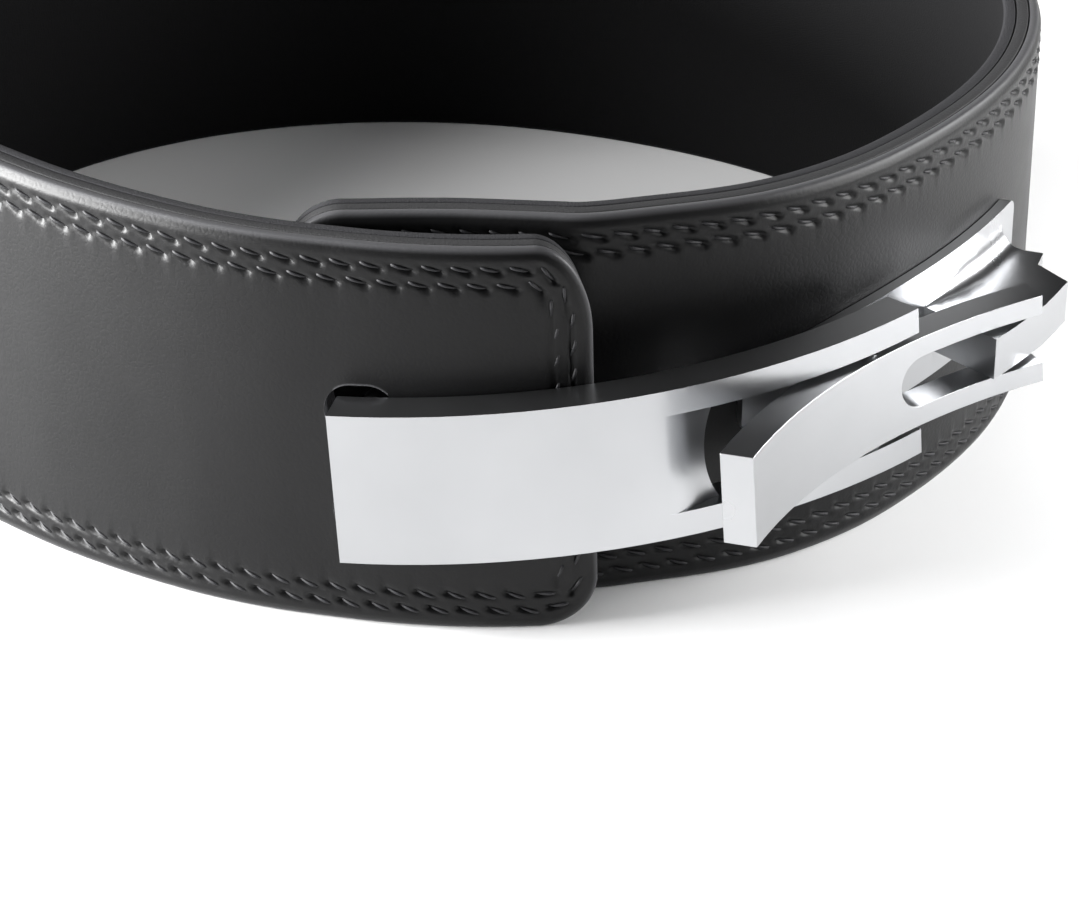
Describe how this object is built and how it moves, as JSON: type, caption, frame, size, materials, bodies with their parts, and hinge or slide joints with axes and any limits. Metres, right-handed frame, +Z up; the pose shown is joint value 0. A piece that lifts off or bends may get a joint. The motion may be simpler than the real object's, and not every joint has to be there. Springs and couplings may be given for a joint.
{
  "type": "weightlifting belt",
  "caption": "Wide stiff leather lifting belt closed into a ring, with a steel lever buckle on the overlapping front end.",
  "frame": {"origin": "middle of the footprint, on the floor that the belt's lower edge stands on", "axes": "+Z up along the belt's height, -Y the side with the buckle, +X to the right as seen from the buckle's side"},
  "size_m": [0.3234, 0.3384, 0.1],
  "materials": {
    "leather_face": "matte black smooth leather",
    "leather_core": "black leather with burnished edges",
    "leather_lining": "matte black napped leather",
    "steel_rack": "satin stainless steel",
    "steel_plate": "satin stainless steel",
    "steel_pin": "ground stainless steel",
    "steel_lever": "satin stainless steel"
  },
  "bodies": {
    "belt": {"strap_face": "leather_face", "strap_core": "leather_core", "strap_lining": "leather_lining", "rack_plate": "steel_rack", "buckle_plate": "steel_plate", "lever_pin": "steel_pin"},
    "lever": {"lever": "steel_lever"}
  },
  "joints": [
    {"name": "lever_hinge", "type": "hinge", "parent": "belt", "child": "lever", "pos_m": [0.10999, -0.11885, 0.05042], "axis": [-0.0698, 0, 0.9976], "range_deg": [-15, 14]}
  ]
}
